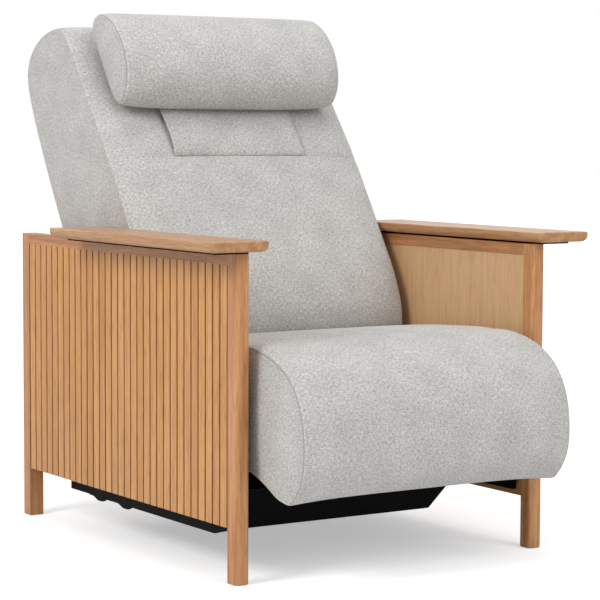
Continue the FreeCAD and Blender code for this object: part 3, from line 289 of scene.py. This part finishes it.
def soft_outline(rows, step, kinks=()):
    """A closed outline through rows of (u, v, softness, crown), resampled by arc length.

    Each corner is blurred along the outline by a Gaussian whose width is the row's softness, and
    crown is carried along with it. Kinks are heights of the first leg where points are set closer:
    0, 1.5, 4 and 8 mm to each side. Returns points, crowns, and each point's place along the way.
    """
    rows = np.array(rows, float)
    closed = np.vstack([rows, rows[:1]])
    legs = np.concatenate([[0], np.cumsum(np.hypot(*np.diff(closed[:, :2], axis=0).T))])
    length = legs[-1]
    count = int(length)
    places = np.arange(count) * length / count
    fine = np.stack([np.interp(places, legs, closed[:, k]) for k in range(4)], 1)
    wave = np.fft.rfftfreq(count, length / count)
    widths = np.array([3.0, 8.0, 16.0, 32.0])
    spectrum = np.fft.rfft(fine, axis=0)
    passed = [np.exp(-2 * (math.pi * wave * width) ** 2)[:, None] for width in widths]
    blurred = [np.fft.irfft(spectrum * share, count, axis=0) for share in passed]
    level = np.interp(blurred[1][:, 2], widths, np.arange(len(widths)))
    low = np.clip(np.floor(level).astype(int), 0, len(widths) - 2)
    part = (level - low)[:, None]
    stack = np.array(blurred)
    index = np.arange(count)
    smooth_rows = stack[low, index] * (1 - part) + stack[low + 1, index] * part
    steps = int(length / step)
    chosen = np.arange(steps) * length / steps
    half_way = count // 2
    for height in kinks:
        at = places[np.argmin(np.abs(smooth_rows[:half_way, 1] - height))]
        near = at + np.array([-8, -4, -1.5, 0, 1.5, 4, 8])
        chosen = np.concatenate([chosen[np.min(np.abs(chosen[:, None] - near), axis=1) > 2.5], near])
    chosen = np.sort(chosen)
    wrap = np.vstack([smooth_rows, smooth_rows[:1]])
    ends = np.append(places, length)
    picked = np.stack([np.interp(chosen, ends, wrap[:, k]) for k in (0, 1, 3)], 1)
    return picked[:, :2], picked[:, 2], chosen, length


def outward(loop):
    """Unit normals of a closed loop of points, pointing out of it."""
    tangent = np.roll(loop, -1, 0) - np.roll(loop, 1, 0)
    normal = np.stack([tangent[:, 1], -tangent[:, 0]], 1)
    normal /= np.linalg.norm(normal, axis=1, keepdims=True)
    area = np.sum(loop[:, 0] * np.roll(loop[:, 1], -1) - np.roll(loop[:, 0], -1) * loop[:, 1])
    return normal if area > 0 else -normal


def closest_on(loop, start, end):
    """For each point of the loop, the closest point of the segment from start to end."""
    start = np.array(start, float)
    run = np.array(end, float) - start
    t = np.clip((loop - start) @ run / (run @ run), 0, 1)
    return start + t[:, None] * run


def mesh_piece(name, verts, faces, material, uv=None, seam=None):
    """A mesh object at the origin, with its UV map, seam distances and smooth faces."""
    mesh = bpy.data.meshes.new(name)
    mesh.from_pydata(verts.tolist(), [], faces)
    if uv is not None:
        layer = mesh.uv_layers.new(name="UVMap")
        layer.data.foreach_set("uv", np.asarray(uv, float).ravel())
    if seam is not None:
        distances = mesh.attributes.new("seam", "FLOAT", "POINT")
        distances.data.foreach_set("value", np.asarray(seam, np.float32))
    mesh.polygons.foreach_set("use_smooth", [True] * len(mesh.polygons))
    mesh.materials.append(material)
    piece = bpy.data.objects.new(name, mesh)
    bpy.context.scene.collection.objects.link(piece)
    return piece


def cushion(name, rows, spine, width, material, step=9.0, draw=2.0, dome=4.0, cross_seams=(), double=False,
            faint=0.0):
    """A boxed cushion along X, in millimetres: a band round the outline and a domed cap at each end.

    Band: each outline point moves along its normal by crown * (1 - t^4) ^ 0.5 - draw * exp(-d / 12)
    - groove, where t is the way from the middle to the end seam, d the distance to that seam and
    groove is 1.6 * exp(-(d / 2)^2), and on a double seam a shallower one once more, DOUBLE_SEAM_GAP away.
    Cap: rings from the seam to the spine, a line inside the outline, standing out by dome * sin of
    the way. Cross seams are a 1 mm groove in a 1.2 mm hollow along X, at heights of the front. A faint
    seam is drawn as if it were that many millimetres further away.
    """
    loop, crowns, along, length = soft_outline(rows, step, cross_seams)
    normal = outward(loop)
    count = len(loop)
    half = width / 2 - dome
    near = np.array([0, 1.0, 2.2, 4.0, 6.5, 9, 11.5, 15, 21, 30, 42])
    gaps = np.concatenate([near, np.arange(55, half, 15.0)])
    xs = np.concatenate([-half + gaps, [0.0], (half - gaps)[::-1]])
    d = half - np.abs(xs)
    t = np.abs(xs) / half
    groove = 1.6 * np.exp(-(d / 2) ** 2)
    if double:
        groove = groove + 0.9 * np.exp(-((d - DOUBLE_SEAM_GAP) / 2.2) ** 2)
    lift = crowns[None] * np.sqrt(1 - t ** 4)[:, None] - (draw * np.exp(-d / 12) + groove)[:, None]
    front = (np.arange(count) < count // 2)[None] & np.ones((len(xs), 1), bool)
    away = np.full((len(xs), count), 99.0)
    for height in cross_seams:
        away = np.where(front, np.minimum(away, np.abs(loop[None, :, 1] - height)), away)
    lift -= 1.0 * np.exp(-(away / 2) ** 2) + 1.2 * np.exp(-(away / 14) ** 2)
    rings = loop[None] + lift[..., None] * normal[None]
    way = np.array([0.010, 0.025, 0.05, 0.09, 0.15, 0.24, 0.36, 0.5, 0.66, 0.83, 1.0])
    middle_line = closest_on(loop, *spine)
    start = rings[0]
    inner = start[None] + way[:, None, None] * (middle_line - start)[None]
    stand = dome * np.sin(way * math.pi / 2)
    grid = np.concatenate([inner[::-1], rings, inner])
    x_all = np.concatenate([-half - stand[::-1], xs, half + stand])
    stack = len(grid)
    verts = np.empty((stack, count, 3))
    verts[..., 0] = x_all[:, None]
    verts[..., 1:] = grid
    first = np.arange(stack - 1)[:, None] * count
    column = np.arange(count)[None]
    following = (column + 1) % count
    above = first + count
    faces = np.stack([first + column, above + column, above + following, first + following], -1)
    reach = np.linalg.norm(start - middle_line, axis=1)
    across_cap = way[:, None] * reach[None]
    band = np.minimum(np.repeat(d[:, None], count, 1) + faint, away + 0.8)
    seam = np.concatenate([across_cap[::-1] + faint, band, across_cap + faint])
    # The map runs along X and round the outline on the band, and in the side plane on the caps.
    wrapped = np.concatenate([grid, grid[:, :1]], 1)
    u = np.repeat(x_all[:, None], count + 1, 1)
    v = np.repeat(np.append(along, length)[None], stack, 0)
    is_cap = ((np.abs(x_all[:-1]) > half) | (np.abs(x_all[1:]) > half))[:, None, None]
    c = np.arange(count)
    corners = []
    for k, on_band in enumerate((u, v)):
        on_cap = np.stack([wrapped[:-1, :, k], wrapped[1:, :, k]], 1)
        m = np.where(is_cap, on_cap, np.stack([on_band[:-1], on_band[1:]], 1))
        corners.append(np.stack([m[:, 0, c], m[:, 1, c], m[:, 1, c + 1], m[:, 0, c + 1]], -1))
    uv = np.stack(corners, -1).reshape(-1, 2) * MM
    faces = faces.reshape(-1, 4).tolist()
    return mesh_piece(name, verts.reshape(-1, 3) * MM, faces, material, uv, seam.ravel() * MM)


def puff(piece, limit):
    """Blows a cushion up as cloth held along its seams, and caps how far a point may move (mm).

    A point is held fully within SEAM_HELD of a seam, and less and less up to SEAM_HOLD_REACH from it.
    """
    mesh = piece.data
    rest = np.empty(len(mesh.vertices) * 3)
    mesh.vertices.foreach_get("co", rest)
    rest = rest.reshape(-1, 3)
    seam = np.empty(len(mesh.vertices), np.float32)
    mesh.attributes["seam"].data.foreach_get("value", seam)
    held = piece.vertex_groups.new(name="held")
    for level in range(1, HOLD_LEVELS + 1):
        weight = level / HOLD_LEVELS
        low = SEAM_HOLD_REACH * MM * (1 - (weight + 0.5 / HOLD_LEVELS))
        high = SEAM_HOLD_REACH * MM * (1 - (weight - 0.5 / HOLD_LEVELS))
        ids = np.nonzero((seam > low) & (seam <= high))[0]
        if len(ids):
            held.add(ids.tolist(), weight, "REPLACE")
    held.add(np.nonzero(seam <= SEAM_HELD * MM)[0].tolist(), 1.0, "REPLACE")
    cloth = piece.modifiers.new("cloth", "CLOTH")
    settings = cloth.settings
    settings.quality = 6
    settings.mass = 0.25
    settings.tension_stiffness = CLOTH_STIFFNESS
    settings.compression_stiffness = CLOTH_STIFFNESS
    settings.shear_stiffness = CLOTH_STIFFNESS / 2
    settings.bending_stiffness = 0.6
    settings.vertex_group_mass = held.name
    settings.use_pressure = True
    settings.uniform_pressure_force = CLOTH_PRESSURE
    settings.effector_weights.gravity = 0.0
    cloth.collision_settings.use_collision = False
    scene = bpy.context.scene
    for number in range(1, 21):
        scene.frame_set(number)
    shown = piece.evaluated_get(bpy.context.evaluated_depsgraph_get())
    moved = np.empty(len(shown.data.vertices) * 3)
    shown.data.vertices.foreach_get("co", moved)
    scene.frame_set(1)
    piece.modifiers.remove(cloth)
    piece.vertex_groups.clear()
    shift = moved.reshape(-1, 3) - rest
    size = np.linalg.norm(shift, axis=1, keepdims=True)
    cap = limit * MM
    shift *= cap * np.tanh(size / cap) / np.maximum(size, 1e-9)
    mesh.vertices.foreach_set("co", (rest + shift).ravel())
    mesh.update()


def smooth(piece):
    """One live subdivision, alike in the view and the render."""
    modifier = piece.modifiers.new("smooth", "SUBSURF")
    modifier.levels = 1
    modifier.render_levels = 1


def lean(piece):
    """Sets a piece drawn in the back's own frame, x, b and a, on the hinge and leans it back."""
    turn = Matrix.Rotation(-BACK_LEAN, 4, "X")
    piece.data.transform(Matrix.Translation(Vector(BACK_HINGE)) @ turn)


def merged(piece):
    """Joins points that meet, as at a cap's spine, and turns the faces outwards."""
    work = bmesh.new()
    work.from_mesh(piece.data)
    bmesh.ops.remove_doubles(work, verts=work.verts, dist=0.05 * MM)
    bmesh.ops.recalc_face_normals(work, faces=work.faces)
    work.to_mesh(piece.data)
    work.free()


def slat_board(name, side, material):
    """Slats with rounded edges on a backing board, one comb-shaped section drawn up along Z."""
    low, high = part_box(name)
    span = (high[1] - low[1]) / MM
    pitch = (span - SLAT_GROOVE) / SLAT_COUNT
    face_x = low[0] if side < 0 else high[0]
    back_x = high[0] if side < 0 else low[0]
    turn = np.linspace(0, math.pi / 2, 4)
    backing = abs(face_x - back_x) / MM
    outline = [(backing, 0.0), (SLAT_DEPTH, 0.0)]
    for i in range(SLAT_COUNT):
        y0 = SLAT_GROOVE + i * pitch
        y1 = y0 + pitch - SLAT_GROOVE
        outline.append((SLAT_DEPTH, y0))
        outline += [(SLAT_ROUND * (1 - math.sin(t)), y0 + SLAT_ROUND * (1 - math.cos(t))) for t in turn]
        outline += [(SLAT_ROUND * (1 - math.cos(t)), y1 - SLAT_ROUND * (1 - math.sin(t))) for t in turn]
        outline.append((SLAT_DEPTH, y1))
    outline += [(SLAT_DEPTH, span), (backing, span)]
    outline = np.array(outline)
    inward = 1 if side < 0 else -1
    xy = np.stack([face_x + inward * outline[:, 0] * MM, low[1] + outline[:, 1] * MM], 1)
    n = len(xy)
    verts = np.concatenate([np.column_stack([xy, np.full(n, z)]) for z in (low[2], high[2])])
    i = np.arange(n)
    j = (i + 1) % n
    faces = np.stack([i, j, j + n, i + n], 1).tolist()
    faces += [list(range(n)), list(range(2 * n - 1, n - 1, -1))]
    piece = mesh_piece(name + "_dressed", verts, faces, material)
    piece.data.polygons.foreach_set("use_smooth", [False] * len(piece.data.polygons))
    merged(piece)
    return piece


def neck_flap(material):
    """Flap sewn to the cross seam below, lying up the back and in under the pillow, in millimetres.

    At a share way of its height, the slab's rear face stands off the back by
    lift * way^0.7 * (1.25 - way) * (0.3 + 0.7 * (2 x / width - 0.2)^2 / 1.44) - 0.4, so that its upright
    edges gape, the left one more, and its seam sinks in a little. A wave of 1.2 * sin(x / 60) * way is
    added. Up to a quarter of its height, and towards its upright edges, it thins to no less than 6 %:
    thick * (1 - |2 x / width|^14) * (1 - (1 - way / 0.25)^2).
    """
    width, low, high, thick, lift = 310.0, 421.5, 541.0, 3.5, 24.0
    columns, rows = 61, 41
    x = np.linspace(-width / 2, width / 2, columns)
    way = np.linspace(0, 1, rows)
    a = low + way * (high - low)
    # The back cushion's front face, by height: the hollow of the cross seam, then the face above it.
    surface = np.interp(a, [421.0, 424.0, 430.0, 520.0, 574.0], [-104.4, -105.4, -106.0, -97.0, -92.0])
    gape = 0.3 + 0.7 * (2 * x / width - 0.2) ** 2 / 1.44
    edge = 1 - np.abs(2 * x / width) ** 14
    top = 1 - (1 - np.clip(way / 0.25, 0, 1)) ** 2
    half = thick / 2 * np.maximum(edge[None] * top[:, None], 0.06)
    stand = lift * (way ** 0.7 * (1.25 - way))[:, None] * gape[None] - 0.4
    centre = surface[:, None] - stand - half + 1.2 * np.sin(x / 60.0)[None] * way[:, None]
    sheets = []
    for sign in (-1, 1):
        sheet = np.empty((rows, columns, 3))
        sheet[..., 0] = x[None]
        sheet[..., 1] = centre + sign * half
        sheet[..., 2] = a[:, None]
        sheets.append(sheet.reshape(-1, 3))
    r = np.arange(rows - 1)[:, None] * columns
    c = np.arange(columns - 1)[None]
    quad = np.stack([r + c, r + c + 1, r + c + columns + 1, r + c + columns], -1).reshape(-1, 4)
    total = rows * columns
    border = np.concatenate([
        np.arange(columns - 1), columns * np.arange(1, rows) - 1, total - 1 - np.arange(columns - 1),
        (rows - 1 - np.arange(rows - 1)) * columns])
    following = np.roll(border, -1)
    rim = np.stack([border, border + total, following + total, following], 1)
    faces = np.concatenate([quad, quad[:, ::-1] + total, rim])
    verts = np.concatenate(sheets)
    uv = verts[faces.ravel()][:, [0, 2]] * MM
    # Painted shade: only the rear sheet, which faces the back, darkens along the two upright edges, a dark line
    # where the slit beside the flap is in shadow.
    edge_gap = width / 2 - np.abs(verts[:, 0])
    slit_shade_floor = np.where(np.arange(2 * total) < total, 2.0, 0.0)
    seam = np.maximum(edge_gap, slit_shade_floor)
    return mesh_piece("neck_flap_cloth", verts * MM, faces.tolist(), material, uv, seam * MM)


# Materials
cloth = upholstery("melange_woven_upholstery")
post_oak = oak("satin_oak_posts", "Z", "#c38a57", "#ae7444", "#d09a67")
rail_oak = oak("satin_oak_rails", "Y", "#b87f4c", "#a26a3a", "#c78f5c")
arm_oak = oak("satin_oak_armrests", "Y", "#b48455", "#a07045", "#c3996b", gloss=0.36)
veneer = oak("satin_oak_veneer", "Z", "#d1a97b", "#cba374", "#d5af82", gloss=0.45, pored=0.4)
slat_low, slat_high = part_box("slat_board_left")
# Each strip of wood ends in the middle of a groove, so its tone changes where no face shows it.
slat_pitch = (slat_high[1] - slat_low[1] - SLAT_GROOVE * MM) / SLAT_COUNT
slat_rows = (slat_low[1] + SLAT_GROOVE / 2 * MM, slat_pitch, -slat_low[0])
slats = oak("satin_oak_slats", "Z", "#d49b5a", "#c78e4d", "#dda869", rows=slat_rows)
black = powder_coat("black_powder_coat", "#030303", "#080809")
grey = powder_coat("grey_powder_coat", "#4a4d50", "#5a5d60")
zinc = zinc_plate("zinc_plated_steel")
nylon = moulded("light_grey_moulded_nylon", "#cfcfcb", "#dededa", 0.38)
black_abs = moulded("black_moulded_abs", "#101011", "#19191b", 0.5)

FINISH = {
    "solid_wood": post_oak, "slat_wood": slats, "veneer": veneer, "fabric": cloth, "black_steel": black,
    "grey_steel": grey, "bright_steel": zinc, "roller_plastic": nylon, "black_plastic": black_abs,
}
slot_of = {part["node"]: part["material_slot"] for part in frame["record"]["subparts"]}
for node, thing in frame["nodes"].items():
    material = FINISH[slot_of[node]]
    if "rail" in node and slot_of[node] == "solid_wood":
        material = rail_oak
    if node.startswith("armrest_") and slot_of[node] == "solid_wood":
        material = arm_oak
    for place in thing.material_slots:
        place.material = material

# Cushions, in millimetres. Each row is (y, z, softness, crown), or (b, a, softness, crown) on the back.
# The seat's and the leg pad's y count from the front of the side frames, 420 mm before the back's hinge.
HINGE_FROM_FRONT = 420.0
FRONT = BACK_HINGE[1] / MM - HINGE_FROM_FRONT
CUSHION_WIDTH = 600
SEAT_WIDTH = 598
PILLOW_WIDTH = 518

# Leg pad
leg_rows = [(y + FRONT, z, soft, crown) for y, z, soft, crown in [
    (63, 200, 5, 1), (63, 424, 6, 5), (29, 423, 10, 12), (-14, 416, 20, 14), (-44, 408, 20, 13),
    (-73, 395, 20, 11), (-102, 376, 20, 9), (-124, 348, 20, 7), (-139, 316, 20, 6), (-146, 282, 24, 5),
    (-148, 250, 24, 5), (-146, 219, 20, 4), (-136, 193, 14, 0), (-118, 167, 10, -6), (-98, 147, 6, -12),
    (-50, 155, 10, -9), (-11, 176, 20, -2)]]
leg_spine = ((20 + FRONT, 320), (-60 + FRONT, 280))
leg_pad = cushion("leg_pad_cushion", leg_rows[::-1], leg_spine, CUSHION_WIDTH, cloth, draw=3.5)
puff(leg_pad, limit=5.0)
merged(leg_pad)
smooth(leg_pad)
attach(leg_pad, "legrest")
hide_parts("leg_pad")

# Seat cushion
seat_rows = [(y + FRONT, z, soft, crown) for y, z, soft, crown in [
    (74, 331, 4, 0), (74, 421, 8, 5), (84, 425, 10, 8), (230, 416, 20, 10), (368, 404, 12, 5),
    (379, 396, 8, 0), (379, 331, 4, 0)]]
seat_spine = ((120 + FRONT, 375), (340 + FRONT, 370))
seat = cushion("seat_cushion_soft", seat_rows, seat_spine, SEAT_WIDTH, cloth, step=12.0)
puff(seat, limit=4.0)
merged(seat)
smooth(seat)
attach(seat, "base")
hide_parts("seat_cushion")

# Back cushion, with the cross seam that the neck flap is sewn to
BACK_SEAM = 421.0
back_rows = [
    (-50, 34, 5, 1), (-74, 80, 14, 10), (-86, 150, 24, 18), (-86, 330, 32, 20), (-86, 430, 32, 21),
    (-79, 520, 32, 17), (-75, 574, 32, 16), (-71, 690, 24, 13), (-64, 750, 14, 9), (-36, 778, 12, 5),
    (20, 800, 16, 3), (80, 804, 20, 2), (124, 784, 20, 2), (142, 748, 20, 2), (152, 690, 32, 3),
    (160, 590, 32, 3), (165, 480, 32, 4), (167, 300, 32, 4), (167, 42, 5, 1)]
back = cushion("back_cushion", back_rows, ((35, 110), (45, 720)), CUSHION_WIDTH, cloth, step=10.0,
               cross_seams=(BACK_SEAM,), faint=0.7)
puff(back, limit=6.0)
merged(back)
lean(back)
smooth(back)
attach(back, "backrest")
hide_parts("back_front_pad", "back_top_pad", "back_side_pad_left", "back_side_pad_right",
            "back_rear_cover")

# Head pillow
pillow_rows = [
    (-124, 531, 10, 12), (-150, 537, 14, 12), (-175, 555, 16, 12), (-191, 584, 18, 8), (-199, 616, 20, 7),
    (-198, 648, 20, 6), (-191, 677, 20, 5), (-178, 707, 18, 3), (-159, 731, 16, 1), (-136, 745, 12, 0),
    (-116, 744, 10, 0), (-101, 732, 10, 0), (-98, 702, 14, 0), (-97, 650, 16, 0), (-99, 612, 16, 0),
    (-100, 575, 16, 0), (-103, 548, 10, 8)]
pillow = cushion("head_pillow_cushion", pillow_rows, ((-147, 610), (-143, 672)), PILLOW_WIDTH, cloth,
                 step=8.0, dome=6.0, double=True)
puff(pillow, limit=4.0)
merged(pillow)
lean(pillow)
smooth(pillow)
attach(pillow, "backrest")
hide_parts("head_pillow")

# Neck flap
flap = neck_flap(cloth)
lean(flap)
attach(flap, "backrest")
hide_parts("neck_flap")

# Slatted boards
for side_name, side_sign in (("left", -1), ("right", 1)):
    board = slat_board("slat_board_" + side_name, side_sign, slats)
    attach(board, "base")
    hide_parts("slat_board_" + side_name)


def floor_and_sky():
    """Pale floor that keeps the shadow, and a white surround for the camera and for reflections."""
    mesh = bpy.data.meshes.new("floor")
    mesh.from_pydata([(-12, -12, 0), (12, -12, 0), (12, 12, 0), (-12, 12, 0)], [], [(0, 1, 2, 3)])
    floor = bpy.data.objects.new("floor", mesh)
    bpy.context.scene.collection.objects.link(floor)
    material, tree, shader = new_material("pale_floor", {"Base Color": linear("#f2f2f2"), "Roughness": 0.9})
    seen = add(tree, "ShaderNodeLightPath").outputs["Is Camera Ray"]
    spot = add(tree, "ShaderNodeNewGeometry").outputs["Position"]
    far = add(tree, "ShaderNodeVectorMath", {"operation": "LENGTH"}, {0: spot}).outputs["Value"]
    far = math_node(tree, "MULTIPLY_ADD", far, 0.2, -0.25, clamp=True)
    # Seen by the camera, the floor is lifted to the white of the surround, more so further away.
    lift = math_node(tree, "MULTIPLY", seen, math_node(tree, "MULTIPLY_ADD", far, 0.3, 0.42))
    glow = add(tree, "ShaderNodeEmission", {"Color": (1, 1, 1, 1)}, {"Strength": lift})
    both = add(tree, "ShaderNodeAddShader", links={0: shader.outputs["BSDF"], 1: glow.outputs["Emission"]})
    tree.links.new(both.outputs["Shader"], tree.nodes["Material Output"].inputs["Surface"])
    mesh.materials.append(material)
    world = bpy.data.worlds.new("studio")
    bpy.context.scene.world = world
    world.use_nodes = True
    tree = world.node_tree
    path = add(tree, "ShaderNodeLightPath")
    seen = math_node(tree, "MAXIMUM", path.outputs["Is Camera Ray"], path.outputs["Is Glossy Ray"])
    seen = math_node(tree, "MAXIMUM", seen, path.outputs["Is Transmission Ray"])
    strength = math_node(tree, "MULTIPLY_ADD", seen, 0.53, 0.47)
    tree.links.new(strength, tree.nodes["Background"].inputs["Strength"])
    tree.nodes["Background"].inputs["Color"].default_value = (1, 1, 1, 1)


def lamp(name, place, target, size, power):
    """A square soft box aimed at a point."""
    data = bpy.data.lights.new(name, "AREA")
    data.shape = "SQUARE"
    data.size = size
    data.energy = power
    light = bpy.data.objects.new(name, data)
    light.location = place
    light.rotation_euler = (Vector(target) - Vector(place)).to_track_quat("-Z", "Y").to_euler()
    bpy.context.scene.collection.objects.link(light)


def photo_camera():
    """The camera of the photograph."""
    data = bpy.data.cameras.new("camera")
    data.lens = CAMERA_LENS
    data.sensor_width = 36.0
    data.clip_end = 100.0
    camera = bpy.data.objects.new("camera", data)
    camera.location = CAMERA_PLACE
    yaw = Matrix.Rotation(math.radians(-CAMERA_YAW), 3, "Z")
    pitch = Matrix.Rotation(math.radians(90 - CAMERA_PITCH), 3, "X")
    roll = Matrix.Rotation(math.radians(CAMERA_ROLL), 3, "Z")
    camera.rotation_euler = (yaw @ pitch @ roll).to_euler()
    bpy.context.scene.collection.objects.link(camera)
    bpy.context.scene.camera = camera


floor_and_sky()
# Soft boxes: place, aim and side in metres, and power in watts.
lamp("key", (0.8, -3.4, 3.0), (0, 0, 0.5), 2.6, 65)
lamp("left", (-3.6, -0.8, 2.8), (0, 0, 0.5), 1.5, 84)
lamp("top", (0, 0.2, 3.6), (0, 0, 0.3), 2.4, 30)
photo_camera()
bpy.context.scene.view_settings.view_transform = "Standard"
